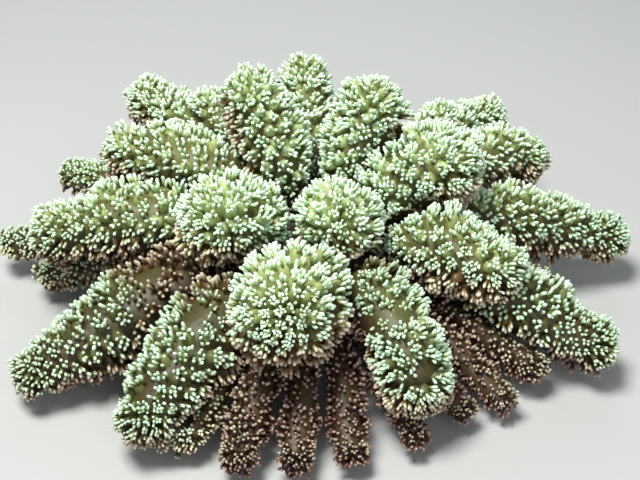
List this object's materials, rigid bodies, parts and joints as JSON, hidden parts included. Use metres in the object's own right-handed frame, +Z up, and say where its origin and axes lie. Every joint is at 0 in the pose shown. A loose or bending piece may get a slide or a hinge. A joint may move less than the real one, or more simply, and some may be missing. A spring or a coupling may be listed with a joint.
{
  "type": "sea anemone",
  "caption": "Life-size still model of a branching sea anemone: a crown of thick arms covered in finger-like branchlets on a low oral disc and a short column with a flat foot.",
  "frame": {"origin": "middle of the flat foot of the column, on the surface it rests on", "axes": "+Z up through the mouth; +X to the viewer's right across the widest reach of the arms; -Y towards the viewer, at the front of the crown"},
  "size_m": [0.3273, 0.2622, 0.1166],
  "materials": {
    "arm_flesh": "moist flesh, olive green with cream-white branchlet tips",
    "disc_flesh": "moist flesh, dark olive brown",
    "column_flesh": "moist flesh, mauve brown, lightly wrinkled"
  },
  "bodies": {
    "root": {"arm_inner_back_left_lower": "arm_flesh", "arm_inner_back_left_upper": "arm_flesh", "arm_inner_back_right_lower": "arm_flesh", "arm_inner_back_right_upper": "arm_flesh", "arm_inner_front_lower": "arm_flesh", "arm_inner_front_upper": "arm_flesh", "arm_inner_left_lower": "arm_flesh", "arm_inner_left_upper": "arm_flesh", "arm_inner_right_lower": "arm_flesh", "arm_inner_right_upper": "arm_flesh", "arm_outer_01": "arm_flesh", "arm_outer_02": "arm_flesh", "arm_outer_03": "arm_flesh", "arm_outer_04": "arm_flesh", "arm_outer_05": "arm_flesh", "arm_outer_06": "arm_flesh", "arm_outer_07": "arm_flesh", "arm_outer_08": "arm_flesh", "arm_outer_09": "arm_flesh", "arm_outer_10": "arm_flesh", "arm_outer_11": "arm_flesh", "arm_outer_12": "arm_flesh", "arm_outer_13": "arm_flesh", "arm_outer_14": "arm_flesh", "arm_outer_15": "arm_flesh", "arm_outer_16": "arm_flesh", "arm_outer_17": "arm_flesh", "arm_outer_18": "arm_flesh", "arm_outer_19": "arm_flesh", "arm_second_back_left_lower": "arm_flesh", "arm_second_back_left_upper": "arm_flesh", "arm_second_back_lower": "arm_flesh", "arm_second_back_right": "arm_flesh", "arm_second_back_upper": "arm_flesh", "arm_second_front_lower": "arm_flesh", "arm_second_front_right_lower": "arm_flesh", "arm_second_front_right_upper": "arm_flesh", "arm_second_front_upper": "arm_flesh", "arm_second_left_lower": "arm_flesh", "arm_second_left_upper": "arm_flesh", "arm_second_right_lower": "arm_flesh", "arm_second_right_upper": "arm_flesh", "arm_third_back_left_lower": "arm_flesh", "arm_third_back_left_upper": "arm_flesh", "arm_third_back_right_lower": "arm_flesh", "arm_third_back_right_upper": "arm_flesh", "arm_third_front_left_lower": "arm_flesh", "arm_third_front_left_upper": "arm_flesh", "arm_third_left_front_lower": "arm_flesh", "arm_third_left_front_upper": "arm_flesh", "arm_third_left_lower": "arm_flesh", "arm_third_left_upper": "arm_flesh", "arm_third_right_back_lower": "arm_flesh", "arm_third_right_back_upper": "arm_flesh", "arm_third_right_front_lower": "arm_flesh", "arm_third_right_front_upper": "arm_flesh", "arm_third_right_lower": "arm_flesh", "arm_third_right_upper": "arm_flesh", "column": "column_flesh", "oral_disc": "disc_flesh"}
  },
  "joints": []
}
